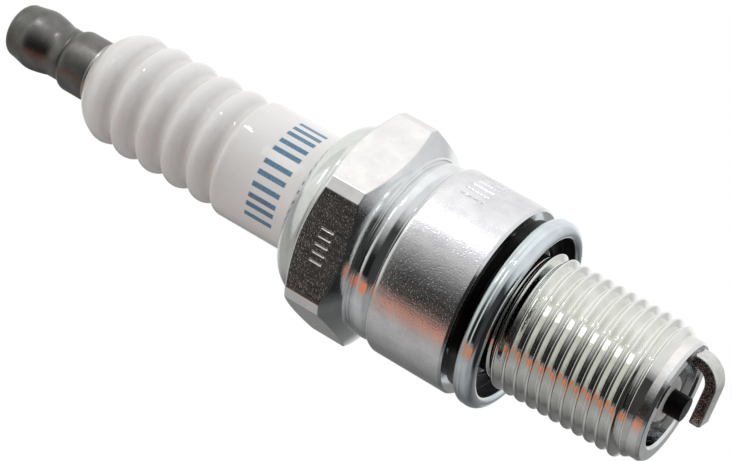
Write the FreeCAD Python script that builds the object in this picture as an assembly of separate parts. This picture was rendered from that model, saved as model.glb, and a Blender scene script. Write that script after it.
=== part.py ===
"""A gasket-seat motorcycle spark plug, M14 x 1.25, 19 mm reach, 20.8 mm hexagon, resistor type.

Millimetres. +Z runs along the plug's axis towards the terminal. The origin is the centre of the seat, the
ring face of the shell that the gasket presses on. The ground electrode is welded on the +X side.
"""
import FreeCAD, Part
import math
import os

from FreeCAD import Vector

# Thread and seat
THREAD_R = 6.95            # crest radius of the M14 thread
THREAD_PITCH = 1.25
THREAD_DEPTH = 0.767
THREAD_FLAT = 0.16         # width of the crest flat
CREST_COUNT = 12
LAST_CREST_Z = -17.05      # the crest nearest the firing end
LAST_CREST_R = 6.65        # it is cut down by the lead-in
RELIEF_R = 6.1             # plain neck between the seat and the thread
REACH = 19.0               # seat to the firing end
TIP_R = 6.15               # plain pilot at the firing end
TIP_EDGE_R = 5.94

# Barrel, neck and hexagon
SEAT_R = 9.55
BARREL_R = 9.78
BARREL_TOP = 8.8
NECK_R = 8.9
NECK_BULGE_R = 9.3
HEX_FLATS = 20.8
HEX_CORNER_R = 11.65
HEX_LOW_CORNER = 12.5      # height where a corner meets the lower chamfer
HEX_HIGH_CORNER = 16.25    # height where a corner meets the upper chamfer
HEX_CHAMFER_SLOPE = 0.55   # rise of both chamfer cones for each millimetre of radius
HEX_TURN = 3.0             # degrees from the ground electrode to the nearest corner
COLLAR_R = 9.25            # foot of the rolled collar above the hexagon
COLLAR_TOP = 20.35

# Bore of the shell
BORE_R = 7.6
BORE_FLOOR = 4.6
THROAT_R = 5.05
THROAT_TOP = 1.6
LEDGE_Z = -11.6
LEDGE_R = 4.1
MOUTH_R = 4.55
MOUTH_TOP = -14.2

# Insulator
INSULATOR_TOP = 47.5
INSULATOR_R = 6.15
RIB_R = 6.0
FIRST_RIB_R = 5.85
FIRST_RIB_Z = 44.35
GROOVE_R = 5.27
RIB_JOIN_R = 5.62
RIB_COUNT = 4
RIB_PITCH = 3.15
FIRST_GROOVE = 42.88
GROOVE_HALF = 0.66
FLANGE_R = 7.45
FLANGE_TOP = 11.6
NOSE_R = 2.35
NOSE_END = -18.5
CONDUCTOR_R = 2.1          # bore for the stud, glass and resistor
ELECTRODE_BORE_R = 1.25
HEAD_SEAT_Z = -3.0

# Conductors in the insulator
STUD_R = 1.95
STUD_TOP = 55.9
STUD_FOOT = 13.0
ELECTRODE_R = 1.22
ELECTRODE_END = -20.2
HEAD_R = 1.9
HEAD_TOP = -1.4
CORE_R = 0.65
LOWER_GLASS_TOP = 2.5
RESISTOR_TOP = 11.0
UPPER_GLASS_TOP = 17.0

# Terminal nut
NUT_R = 3.27               # skirt that a plug cap grips
NUT_NECK_R = 2.78
NUT_BULB_R = 3.23
NUT_LIP_R = 3.5
NUT_END = 58.6
NUT_BORE_R = 2.0
NUT_BORE_END = 56.5

# Packing between insulator and shell
RING_R = 0.7
UPPER_RING_Z = 18.0
LOWER_RING_Z = 12.68
SEAT_PACK = 0.35           # height of the washer between the two 45 degree seats
SEAT_GAP = 0.1             # radial gap between the insulator and the shell's throat

# Ground electrode
GROUND_OUTER_R = 5.7
GROUND_THICK = 1.15
GROUND_WIDTH = 2.5
GROUND_BEND_R = 1.5
SPARK_GAP = 0.9
GROUND_TIP = -0.4          # the arm ends just past the axis

# Gasket, hanging loose below the seat
GASKET_R = 9.75
GASKET_TOP = -1.1
GASKET_THICK = 2.2
GASKET_LEAF = 0.45
GASKET_LEAF_R = 6.75
GASKET_HOLE_R = 8.3


def at(r, z):
    """The point at radius r and height z in the XZ plane."""
    return Vector(r, 0, z)


def outline(start, *steps):
    """A closed wire of straight steps (r, z) and arc steps (mid, end), starting and ending at start."""
    edges = []
    here = at(*start)
    for step in steps:
        if isinstance(step[0], tuple):
            middle, end = at(*step[0]), at(*step[1])
            edges.append(Part.Arc(here, middle, end).toShape())
        else:
            end = at(*step)
            edges.append(Part.LineSegment(here, end).toShape())
        here = end
    edges.append(Part.LineSegment(here, at(*start)).toShape())
    return Part.Wire(edges)


def turned(start, *steps):
    """The solid of revolution of an outline about the Z axis."""
    face = Part.Face(outline(start, *steps))
    return face.revolve(Vector(0, 0, 0), Vector(0, 0, 1), 360)


def fillet_mid(corner, radius, side_r, side_z):
    """The middle point of a quarter-circle fillet whose centre lies inside the corner."""
    reach = radius * (1 - math.sqrt(0.5))
    return (corner[0] + side_r * reach, corner[1] + side_z * reach)


def hexagon_prism(low, high):
    """The hexagon between two heights, with its corners turned down to the corner radius."""
    sharp = HEX_FLATS / 2 / math.cos(math.radians(30))
    corners = []
    for k in range(7):
        angle = math.radians(HEX_TURN + 60 * k)
        corners.append(Vector(sharp * math.cos(angle), sharp * math.sin(angle), low))
    prism = Part.Face(Part.makePolygon(corners)).extrude(Vector(0, 0, high - low))
    low_cone = HEX_LOW_CORNER - HEX_CHAMFER_SLOPE * HEX_CORNER_R
    high_cone = HEX_HIGH_CORNER + HEX_CHAMFER_SLOPE * HEX_CORNER_R
    envelope = turned(
        (0, low_cone),
        (HEX_CORNER_R, HEX_LOW_CORNER),
        (HEX_CORNER_R, HEX_HIGH_CORNER),
        (0, high_cone),
    )
    return prism.common(envelope)


def threaded_shank():
    """The solid shank up into the barrel, with rings of the thread profile standing for its helix."""
    half_flat = THREAD_FLAT / 2
    flank = THREAD_DEPTH * math.tan(math.radians(30))
    root_r = THREAD_R - THREAD_DEPTH
    rings = [(LAST_CREST_R, LAST_CREST_Z - half_flat), (LAST_CREST_R, LAST_CREST_Z + half_flat)]
    for k in range(1, CREST_COUNT):
        crest_z = LAST_CREST_Z + k * THREAD_PITCH
        rings.append((root_r, crest_z - THREAD_PITCH + half_flat + flank))
        rings.append((root_r, crest_z - half_flat - flank))
        rings.append((THREAD_R, crest_z - half_flat))
        rings.append((THREAD_R, crest_z + half_flat))
    top_z = rings[-1][1]
    return turned(
        (0, -REACH),
        (TIP_EDGE_R, -REACH),
        (TIP_R, -REACH + 0.35),
        (TIP_R, rings[0][1] - (LAST_CREST_R - TIP_R)),
        *rings,
        (RELIEF_R, top_z + THREAD_R - RELIEF_R),
        (RELIEF_R, 2.0),
        (0, 2.0),
    )


def barrel_and_collar():
    """The barrel, the bulged neck and the rolled collar, solid, before the hexagon is added."""
    cone_foot = HEX_LOW_CORNER - HEX_CHAMFER_SLOPE * (HEX_CORNER_R - 9.4)
    hex_crown = HEX_HIGH_CORNER + HEX_CHAMFER_SLOPE * (HEX_CORNER_R - COLLAR_R)
    return turned(
        (0, 0),
        (SEAT_R, 0),
        (BARREL_R, 0.25),
        (BARREL_R, BARREL_TOP - 0.9),
        (fillet_mid((BARREL_R, BARREL_TOP), 0.9, -1, -1), (NECK_R, BARREL_TOP)),
        ((NECK_BULGE_R, (BARREL_TOP + cone_foot) / 2), (NECK_R, cone_foot - 0.2)),
        (9.4, cone_foot),
        (9.4, hex_crown),
        (COLLAR_R, hex_crown + 0.15),
        ((8.85, 18.9), (7.75, 20.0)),
        ((7.2, 20.28), (6.6, COLLAR_TOP)),
        (6.27, COLLAR_TOP - 0.25),
        (0, COLLAR_TOP - 0.25),
    )


def shell_bore():
    """The stepped hole through the shell, from the mouth at the firing end to the rolled lip."""
    ledge_drop = THROAT_R - LEDGE_R
    return turned(
        (0, -REACH - 1),
        (MOUTH_R + 0.25, -REACH - 1),
        (MOUTH_R + 0.25, -REACH),
        (MOUTH_R, -REACH + 0.25),
        (MOUTH_R, MOUTH_TOP),
        (LEDGE_R, MOUTH_TOP),
        (LEDGE_R, LEDGE_Z - ledge_drop),
        (THROAT_R, LEDGE_Z),
        (THROAT_R, THROAT_TOP),
        (BORE_R, BORE_FLOOR),
        (BORE_R, UPPER_RING_Z),
        (fillet_mid((BORE_R, UPPER_RING_Z + 0.75), 0.75, -1, -1), (BORE_R - 0.75, UPPER_RING_Z + 0.75)),
        (6.27, UPPER_RING_Z + 0.75),
        (6.27, COLLAR_TOP + 1),
        (0, COLLAR_TOP + 1),
    )


def shell():
    """The one-piece steel shell."""
    solid = barrel_and_collar().fuse([hexagon_prism(9.5, 19.5), threaded_shank()])
    return solid.removeSplitter().cut(shell_bore())


def insulator():
    """The ribbed ceramic body, with its flange, conical seat, nose and stepped conductor bore."""
    steps = []
    z = FIRST_GROOVE
    for k in range(RIB_COUNT + 1):
        last = k == RIB_COUNT
        low_join = INSULATOR_R - 0.25 if last else RIB_JOIN_R
        steps.append(((GROOVE_R, z), (low_join, z - GROOVE_HALF)))
        if not last:
            crest_z = z - RIB_PITCH / 2
            steps.append(((RIB_R, crest_z), (RIB_JOIN_R, z - RIB_PITCH + GROOVE_HALF)))
        z -= RIB_PITCH
    body_top = FIRST_GROOVE - RIB_COUNT * RIB_PITCH - GROOVE_HALF
    shoulder_drop = 0.95
    shoulder_z = LEDGE_Z - SEAT_GAP + SEAT_PACK
    return turned(
        (CONDUCTOR_R, INSULATOR_TOP),
        (3.6, INSULATOR_TOP),
        ((5.08, 46.2), (FIRST_RIB_R - 0.1, FIRST_RIB_Z + 0.6)),
        ((FIRST_RIB_R, FIRST_RIB_Z), (RIB_JOIN_R, FIRST_GROOVE + GROOVE_HALF)),
        *steps,
        ((INSULATOR_R - 0.06, body_top - 0.3), (INSULATOR_R, body_top - 0.75)),
        (INSULATOR_R, FLANGE_TOP + 0.6),
        (FLANGE_R, FLANGE_TOP),
        (FLANGE_R, BORE_FLOOR + 0.6),
        (THROAT_R - SEAT_GAP, THROAT_TOP + 0.1),
        (THROAT_R - SEAT_GAP, shoulder_z),
        (THROAT_R - SEAT_GAP - shoulder_drop, shoulder_z - shoulder_drop),
        (3.7, LEDGE_Z - 1.4),
        (NOSE_R, NOSE_END + 0.3),
        (NOSE_R - 0.3, NOSE_END),
        (ELECTRODE_BORE_R, NOSE_END),
        (ELECTRODE_BORE_R, HEAD_SEAT_Z),
        (CONDUCTOR_R, HEAD_SEAT_Z),
    )


def centre_electrode():
    """The nickel sheath: a headed pin with a blind hole for the copper core."""
    return turned(
        (0, ELECTRODE_END),
        (ELECTRODE_R - 0.05, ELECTRODE_END),
        (ELECTRODE_R, ELECTRODE_END + 0.05),
        (ELECTRODE_R, HEAD_SEAT_Z),
        (HEAD_R, HEAD_SEAT_Z),
        (HEAD_R, HEAD_TOP - 0.4),
        (HEAD_R - 0.4, HEAD_TOP),
        (CORE_R, HEAD_TOP),
        (CORE_R, ELECTRODE_END + 2.4),
        (0, ELECTRODE_END + 2.4),
    )


def copper_core():
    length = HEAD_TOP - ELECTRODE_END - 2.4
    return Part.makeCylinder(CORE_R, length, Vector(0, 0, ELECTRODE_END + 2.4))


def lower_glass_seal():
    """Conductive glass fused around the electrode's head."""
    return turned(
        (0, HEAD_TOP),
        (HEAD_R - 0.4, HEAD_TOP),
        (HEAD_R, HEAD_TOP - 0.4),
        (HEAD_R, HEAD_SEAT_Z),
        (CONDUCTOR_R, HEAD_SEAT_Z),
        (CONDUCTOR_R, LOWER_GLASS_TOP),
        (0, LOWER_GLASS_TOP),
    )


def resistor():
    return Part.makeCylinder(CONDUCTOR_R, RESISTOR_TOP - LOWER_GLASS_TOP, Vector(0, 0, LOWER_GLASS_TOP))


def upper_glass_seal():
    """Conductive glass fused around the stud's foot."""
    return turned(
        (0, RESISTOR_TOP),
        (CONDUCTOR_R, RESISTOR_TOP),
        (CONDUCTOR_R, UPPER_GLASS_TOP),
        (STUD_R - 0.35, UPPER_GLASS_TOP),
        (STUD_R - 0.35, STUD_FOOT),
        (0, STUD_FOOT),
    )


def terminal_stud():
    """The steel stud: a thinner foot held in the glass, and an M4 end that the nut screws onto."""
    return turned(
        (0, STUD_FOOT),
        (STUD_R - 0.35, STUD_FOOT),
        (STUD_R - 0.35, UPPER_GLASS_TOP + 1),
        (STUD_R, UPPER_GLASS_TOP + 1.4),
        (STUD_R, STUD_TOP - 0.5),
        (STUD_R - 0.5, STUD_TOP),
        (0, STUD_TOP),
    )


def terminal_nut():
    """The domed terminal that a plug cap snaps onto, with a blind bore for the stud."""
    seat = INSULATOR_TOP + 0.02
    return turned(
        (NUT_BORE_R, seat),
        (NUT_LIP_R, seat),
        (NUT_LIP_R, 47.85),
        (NUT_R, 47.95),
        (NUT_R, 50.85),
        ((NUT_R - 0.1, 51.2), (NUT_NECK_R, 51.6)),
        (NUT_NECK_R, 53.4),
        ((3.04, 54.4), (NUT_BULB_R, 55.5)),
        (NUT_BULB_R, 56.0),
        (2.88, 57.7),
        ((2.68, 58.3), (2.15, NUT_END)),
        (0, NUT_END),
        (0, NUT_BORE_END + 0.9),
        (NUT_BORE_R, NUT_BORE_END),
    )


def packing_ring(z):
    """A round wire ring between the insulator and the shell's bore."""
    return Part.makeTorus(INSULATOR_R + 0.02 + RING_R, RING_R, Vector(0, 0, z))


def talc_packing():
    """The pressed powder between the two wire rings."""
    low = LOWER_RING_Z + RING_R
    high = UPPER_RING_Z - RING_R
    inner_r = INSULATOR_R + 0.02
    return turned((inner_r, low), (BORE_R, low), (BORE_R, high), (inner_r, high))


def seat_packing():
    """The conical washer that seals the insulator's shoulder on the shell's ledge."""
    outer_r, inner_r = THROAT_R - 0.15, THROAT_R - 0.75
    outer_z = LEDGE_Z - (THROAT_R - outer_r)
    inner_z = LEDGE_Z - (THROAT_R - inner_r)
    return turned(
        (outer_r, outer_z),
        (outer_r, outer_z + SEAT_PACK),
        (inner_r, inner_z + SEAT_PACK),
        (inner_r, inner_z),
    )


def ground_electrode():
    """The J-shaped strap welded to the rim, bent over the centre electrode."""
    inner_r = GROUND_OUTER_R - GROUND_THICK
    arm_z = ELECTRODE_END - SPARK_GAP
    bend_r = inner_r - GROUND_BEND_R
    bend_z = arm_z + GROUND_BEND_R
    outer_bend = GROUND_BEND_R + GROUND_THICK
    half = math.sqrt(0.5)
    wire = outline(
        (inner_r, -REACH),
        (inner_r, bend_z),
        ((bend_r + GROUND_BEND_R * half, bend_z - GROUND_BEND_R * half), (bend_r, arm_z)),
        (GROUND_TIP, arm_z),
        (GROUND_TIP, arm_z - GROUND_THICK),
        (bend_r, arm_z - GROUND_THICK),
        ((bend_r + outer_bend * half, bend_z - outer_bend * half), (GROUND_OUTER_R, bend_z)),
        (GROUND_OUTER_R, -REACH),
    )
    strap = Part.Face(wire).extrude(Vector(0, GROUND_WIDTH, 0))
    strap.translate(Vector(0, -GROUND_WIDTH / 2, 0))
    return strap


def gasket():
    """The folded crush washer: a rounded outer tube with a thin leaf that keeps it behind the thread."""
    top = GASKET_TOP
    low = GASKET_TOP - GASKET_THICK
    middle = (top + low) / 2
    return turned(
        (GASKET_LEAF_R, top),
        (9.1, top),
        ((9.6, top - 0.32), (GASKET_R, middle)),
        ((9.6, low + 0.32), (9.1, low)),
        (8.65, low),
        (GASKET_HOLE_R, low + 0.35),
        (GASKET_HOLE_R, top - GASKET_LEAF),
        (GASKET_LEAF_R, top - GASKET_LEAF),
    )


NODES = {
    "terminal_nut": terminal_nut,
    "terminal_stud": terminal_stud,
    "insulator": insulator,
    "upper_glass_seal": upper_glass_seal,
    "resistor": resistor,
    "lower_glass_seal": lower_glass_seal,
    "centre_electrode": centre_electrode,
    "copper_core": copper_core,
    "shell": shell,
    "ground_electrode": ground_electrode,
    "gasket": gasket,
    "upper_packing_ring": lambda: packing_ring(UPPER_RING_Z),
    "lower_packing_ring": lambda: packing_ring(LOWER_RING_Z),
    "talc_packing": talc_packing,
    "seat_packing": seat_packing,
}


def main():
    os.makedirs("parts", exist_ok=True)
    for name, build in NODES.items():
        shape = build()
        if shape.ShapeType != "Solid" and len(shape.Solids) == 1:
            shape = shape.Solids[0]
        print(name, shape.ShapeType, shape.isValid(), len(shape.Solids), round(shape.Volume, 3))
        shape.exportStep("parts/" + name + ".step")


main()
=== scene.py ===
import math

import bmesh
import bpy
from mathutils import Matrix, Vector, noise


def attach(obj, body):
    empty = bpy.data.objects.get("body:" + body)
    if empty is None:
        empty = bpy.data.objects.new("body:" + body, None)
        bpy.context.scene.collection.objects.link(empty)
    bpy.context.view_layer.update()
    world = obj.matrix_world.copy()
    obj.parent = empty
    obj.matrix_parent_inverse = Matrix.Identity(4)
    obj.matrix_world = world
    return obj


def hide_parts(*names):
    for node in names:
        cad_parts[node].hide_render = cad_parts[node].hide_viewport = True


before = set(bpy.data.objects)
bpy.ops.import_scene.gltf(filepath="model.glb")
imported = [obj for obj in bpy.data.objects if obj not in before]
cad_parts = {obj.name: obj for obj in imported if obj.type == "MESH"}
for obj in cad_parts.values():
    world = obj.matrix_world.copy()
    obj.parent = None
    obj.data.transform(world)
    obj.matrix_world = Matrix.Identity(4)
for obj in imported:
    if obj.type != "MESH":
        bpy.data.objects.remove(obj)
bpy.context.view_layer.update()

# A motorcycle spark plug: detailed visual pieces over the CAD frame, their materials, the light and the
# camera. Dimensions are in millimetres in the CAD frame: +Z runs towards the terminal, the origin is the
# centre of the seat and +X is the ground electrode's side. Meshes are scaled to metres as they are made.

MM = 0.001

# Thread, seat and firing end of the shell
THREAD_R = 6.95
THREAD_PITCH = 1.25
THREAD_DEPTH = 0.767
LAST_CREST_Z = -17.05      # the crest nearest the firing end, on the +X side
RELIEF_R = 6.1
RELIEF_FOOT = -2.37        # where the relief's cone starts
REACH = 19.0
TIP_R = 6.15
TIP_TOP = -17.8            # where the lead-in to the thread starts
LEAD_SLOPE = 0.65          # rise of the lead-in for each millimetre along the axis
TIP_EDGE_R = 5.94

# Barrel, neck, hexagon and collar
SEAT_R = 9.55
BARREL_R = 9.78
BARREL_TOP = 8.8
NECK_R = 8.9
NECK_BULGE_R = 9.3
HEX_FLATS = 20.8
HEX_CORNER_R = 11.65
HEX_LOW_CORNER = 12.5
HEX_HIGH_CORNER = 16.25
HEX_CHAMFER_SLOPE = 0.55
HEX_EDGE_FILLET = 0.3
HEX_TURN = 3.0             # degrees from +X to the middle of the first corner
HEX_RING_R = 9.4
COLLAR_R = 9.25
COLLAR_TOP = 20.35
LIP_R = 6.27

# Bore of the shell
BORE_R = 7.6
BORE_FLOOR = 4.6
BORE_TOP = 18.75
THROAT_R = 5.05
THROAT_TOP = 1.6
LEDGE_Z = -11.6
LEDGE_R = 4.1
MOUTH_R = 4.55
MOUTH_TOP = -14.2
MOUTH_GROOVE_TOP = -16.3
MOUTH_GROOVE_END = -18.0
MOUTH_GROOVE_DEPTH = 0.06

# Insulator
INSULATOR_TOP = 47.5
INSULATOR_R = 6.15
RIB_R = 6.0
FIRST_RIB_R = 5.85
FIRST_RIB_Z = 44.35
RIB_JOIN_R = 5.62
GROOVE_R = 5.27
GROOVE_HALF = 0.66
RIB_COUNT = 4
RIB_PITCH = 3.15
FIRST_GROOVE = 42.88
RIBS_LOW = 29.0            # the ribbed part starts above this height
FLANGE_R = 7.45
FLANGE_TOP = 11.6
NOSE_R = 2.35
NOSE_END = -18.5
CONDUCTOR_R = 2.1
ELECTRODE_BORE_R = 1.25
HEAD_SEAT_Z = -3.0

# Conductors
STUD_R = 1.95
STUD_PITCH = 0.7
STUD_THREAD_FOOT = 48.0
STUD_TOP = 55.9
STUD_THREAD_DEPTH = 0.42
STUD_FOOT = 13.0
UPPER_GLASS_TOP = 17.0
ELECTRODE_R = 1.22
ELECTRODE_END = -20.2
HEAD_R = 1.9
HEAD_TOP = -1.4
CORE_R = 0.65
CORE_END = -17.8
SPARK_GAP = 0.9

# Terminal nut
NUT_SEAT = 47.52
NUT_LIP_R = 3.5
NUT_LIP_TOP = 47.85
NUT_R = 3.27
NUT_NECK_R = 2.78
NUT_RIDGE_LOW = 51.66      # a thin ridge round the foot of the waist
NUT_RIDGE_HIGH = 51.78
NUT_RIDGE_OUT = 0.07
NUT_BULB_R = 3.23
NUT_END = 58.6
NUT_BORE_R = 2.0
NUT_BORE_END = 56.5

# Ground electrode
GROUND_OUTER_R = 5.7
GROUND_THICK = 1.15
GROUND_WIDTH = 2.5
GROUND_BEND_R = 1.5
GROUND_TIP = -0.4

# Gasket
GASKET_R = 9.75
GASKET_TOP = -1.1
GASKET_THICK = 2.2
GASKET_LEAF = 0.45
GASKET_LEAF_R = 6.75
GASKET_HOLE_R = 8.3
GASKET_SEAM_Z = -2.05

# The printed row on the insulator: the middle of each plain bar and half of its width, in degrees round Z
PRINT_BARS = (-114.0, -103.0, -94.0, -83.0, -71.0, -60.0, -46.0, -36.0, -25.0, -16.0, -6.0)
PRINT_HALF = 2.4
PRINT_LOW = 22.0
PRINT_HIGH = 25.2

# Short stamped dashes on the barrel and on one flat of the hexagon: (middle, half of the width) in degrees
STAMP_DEPTH = 0.12
STAMP_EDGE = (0.25, 0.0, -0.25, -0.45)    # extra points across an edge of a dash, in degrees out from it
BARREL_DASHES = [(-20.0 + 6.0 * k, 0.8) for k in range(6)]
BARREL_DASH_LOW = 3.9
BARREL_DASH_HIGH = 6.4
HEX_DASHES = [(-96.0 + 4.5 * k, 0.55) for k in range(5)]
HEX_DASH_LOW = 13.7
HEX_DASH_HIGH = 15.1

# Largest step round the shell, in degrees
PLAN_STEP = 3.2

# Material slots of the shell
SLOT_PLAIN, SLOT_THREAD, SLOT_BARREL, SLOT_HEXAGON = range(4)

# Camera: its lens, and the plug as it sees it, with x to the right, y down and z away from it
LENS_MM = 118.1
SENSOR_MM = 36.0
AXIS_IN_VIEW = (-0.80894, -0.46582, 0.35865)
SEAT_IN_VIEW = (12.3867, 6.7260, 222.9291)
TURN_IN_VIEW = math.radians(-12)          # how far the plug is turned round its own axis

# Floor under the plug
FLOOR_Z = -2500.0
FLOOR_HALF = 3000.0


# ---------------------------------------------------------------- outlines

def bow(start, middle, end, steps):
    """Points of the circle arc through three points (r, z), both ends included."""
    (ax, ay), (bx, by), (cx, cy) = start, middle, end
    d = 2 * (ax * (by - cy) + bx * (cy - ay) + cx * (ay - by))
    a2, b2, c2 = ax * ax + ay * ay, bx * bx + by * by, cx * cx + cy * cy
    ox = (a2 * (by - cy) + b2 * (cy - ay) + c2 * (ay - by)) / d
    oy = (a2 * (cx - bx) + b2 * (ax - cx) + c2 * (bx - ax)) / d
    radius = math.hypot(ax - ox, ay - oy)
    first = math.atan2(ay - oy, ax - ox)
    turn = 2 * math.pi
    sweep = (math.atan2(cy - oy, cx - ox) - first) % turn
    to_middle = (math.atan2(by - oy, bx - ox) - first) % turn
    if to_middle > sweep:
        sweep -= turn
    points = []
    for i in range(steps + 1):
        angle = first + sweep * i / steps
        points.append((ox + radius * math.cos(angle), oy + radius * math.sin(angle)))
    return points


def rounded(corners, closed=False, steps=4):
    """An outline with its corners filleted. A corner is (x, y) or (x, y, fillet radius).

    A filleted corner gives the same number of points whatever its size. A point just outside each end of the
    fillet keeps the shading of the straight parts flat.
    """
    points = []
    count = len(corners)
    for i, corner in enumerate(corners):
        here = Vector(corner[:2])
        at_end = not closed and i in (0, count - 1)
        if len(corner) == 2 or at_end:
            points.append(tuple(here))
            continue
        back = Vector(corners[i - 1][:2]) - here
        ahead = Vector(corners[(i + 1) % count][:2]) - here
        a = back.normalized()
        b = ahead.normalized()
        half = a.angle(b) / 2
        reach = min(corner[2] / math.tan(half), 0.4 * back.length, 0.4 * ahead.length)
        centre = here + (a + b).normalized() * reach / math.cos(half)
        first = here + a * reach - centre
        last = here + b * reach - centre
        sweep = first.angle_signed(last)
        points.append(tuple(here + a * min(reach * 1.4, 0.48 * back.length)))
        for k in range(steps + 1):
            spoke = first.copy()
            spoke.rotate(Matrix.Rotation(-sweep * k / steps, 2))
            points.append(tuple(centre + spoke))
        points.append(tuple(here + b * min(reach * 1.4, 0.48 * ahead.length)))
    return points


def even_angles(count):
    return [2 * math.pi * k / count for k in range(count)]


# ---------------------------------------------------------------- meshes

def new_piece(name, vertices, faces, material_rows=None):
    """A smooth-shaded mesh object in metres, from vertices in millimetres."""
    mesh = bpy.data.meshes.new(name)
    mesh.from_pydata([Vector(v) * MM for v in vertices], [], faces)
    if material_rows:
        for polygon, row in zip(mesh.polygons, material_rows):
            polygon.material_index = row
    bm = bmesh.new()
    bm.from_mesh(mesh)
    # Thread rows cut off at one height lie on top of each other, so points in one place are joined
    bmesh.ops.remove_doubles(bm, verts=bm.verts, dist=2e-8)
    bmesh.ops.dissolve_degenerate(bm, dist=1e-9, edges=bm.edges)
    bmesh.ops.recalc_face_normals(bm, faces=bm.faces)
    for face in bm.faces:
        face.smooth = True
    bm.to_mesh(mesh)
    bm.free()
    piece = bpy.data.objects.new(name, mesh)
    bpy.context.scene.collection.objects.link(piece)
    return piece


def swept_round(name, angles, column_at, zone_of=None, screw=None):
    """A piece whose outline column_at(angle number) is swept round Z through the given angles.

    An outline that starts and ends on the axis stays open there; any other outline is closed. screw is
    (first row, last row, rows in one pitch) of a helical stretch, where the last column joins the first one
    pitch higher.
    """
    columns = [column_at(k) for k in range(len(angles))]
    rows = len(columns[0])
    on_axis = columns[0][0][0] == 0 and columns[0][-1][0] == 0
    vertices = []
    for angle, column in zip(angles, columns):
        for r, z in column:
            vertices.append((r * math.cos(angle), r * math.sin(angle), z))

    def joined(k, j):
        if k < len(angles):
            return k * rows + j
        if screw and screw[0] <= j <= screw[1]:
            return min(j + screw[2], screw[1])
        return j

    faces = []
    zones = []
    for k in range(len(angles)):
        for j in range(rows - 1 if on_axis else rows):
            up = (j + 1) % rows
            face = (joined(k, j), joined(k, up), joined(k + 1, up), joined(k + 1, j))
            if len(set(face)) < 3:
                continue
            faces.append(face)
            zones.append(zone_of[j] if zone_of else 0)
    return new_piece(name, vertices, faces, zones)


def turned(name, outline, sides):
    """A piece turned from one outline."""
    return swept_round(name, even_angles(sides), lambda k: outline)


# One pitch of the thread from root to root: distance from the crest and depth below it, in fractions of the
# pitch and of the thread's depth
THREAD_SHAPE = (
    (-0.46, 1.0), (-0.425, 0.97), (-0.40, 0.91), (-0.20, 0.33), (-0.125, 0.11), (-0.095, 0.04), (-0.06, 0.0),
    (0.06, 0.0), (0.095, 0.04), (0.125, 0.11), (0.20, 0.33), (0.40, 0.91), (0.425, 0.97), (0.46, 1.0),
)


def thread_column(angle, crest_r, crest_z, pitch, depth, low, high, envelope):
    """The points of a right-hand thread at one angle, held between two heights and inside envelope(z)."""
    turns_down = math.ceil((crest_z - low) / pitch) + 2
    turns_up = math.ceil((high - crest_z) / pitch) + 2
    start = crest_z + pitch * angle / (2 * math.pi)
    points = []
    for turn in range(-turns_down, turns_up + 1):
        for along, down in THREAD_SHAPE:
            z = min(max(start + pitch * (turn + along), low), high)
            points.append((min(crest_r - depth * down, envelope(z)), z))
    return points


def screw_rows(below, thread):
    """(first row, last row, rows in one pitch) of a thread that follows the rows below it."""
    return len(below), len(below) + len(thread) - 1, len(THREAD_SHAPE)


# ---------------------------------------------------------------- shell

def hexagon_plan():
    """The hexagon's outline seen from the end, as (angle, radius) in order of angle."""
    land_half = math.radians(30) - math.acos(HEX_FLATS / 2 / HEX_CORNER_R)
    corners = []
    for k in range(6):
        middle = math.radians(HEX_TURN + 60 * k)
        for angle in (middle - land_half, middle + land_half):
            spot = (HEX_CORNER_R * math.cos(angle), HEX_CORNER_R * math.sin(angle))
            corners.append((*spot, HEX_EDGE_FILLET))
    points = rounded(corners, closed=True, steps=3)
    plan = []
    for i, point in enumerate(points):
        after = points[(i + 1) % len(points)]
        here = Vector(point)
        step = Vector(after) - here
        parts = max(1, math.ceil(math.degrees(here.angle(Vector(after))) / PLAN_STEP))
        for part in range(parts):
            spot = here + step * part / parts
            plan.append((math.atan2(spot.y, spot.x) % (2 * math.pi), spot.length))
    return with_dash_edges(sorted(plan))


def with_dash_edges(plan):
    """The plan with extra points for the edges of the stamped dashes."""
    for middle, half in BARREL_DASHES + HEX_DASHES:
        for step in STAMP_EDGE:
            for side in (-1, 1):
                angle = math.radians(middle + side * (half + step)) % (2 * math.pi)
                after = next((i for i, point in enumerate(plan) if point[0] > angle), 0)
                (first, first_r), (last, last_r) = plan[after - 1], plan[after]
                across = first_r * math.sin(angle - first) + last_r * math.sin(last - angle)
                plan = sorted(plan + [(angle, first_r * last_r * math.sin(last - first) / across)])
    return plan


def dash_depth(dashes, angle):
    """The depth of the stamped dashes at an angle: full inside their edges, none between them."""
    for middle, half in dashes:
        off = abs((math.degrees(angle) - middle + 180) % 360 - 180)
        if off < half - 0.15:
            return STAMP_DEPTH
    return 0.0


def dashed_side(r, low, high, depth):
    """Points up a straight side, sunk to a depth between two heights."""
    return [
        (r, low - 0.05), (r, low), (r - depth, low + 0.08), (r - depth, low + 0.13),
        (r - depth, high - 0.13), (r - depth, high - 0.08), (r, high), (r, high + 0.05),
    ]


def shell_envelope(z):
    """The largest radius of the threaded shank at a height."""
    return min(THREAD_R, TIP_R + LEAD_SLOPE * (z - TIP_TOP), RELIEF_R + RELIEF_FOOT - z)


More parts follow.
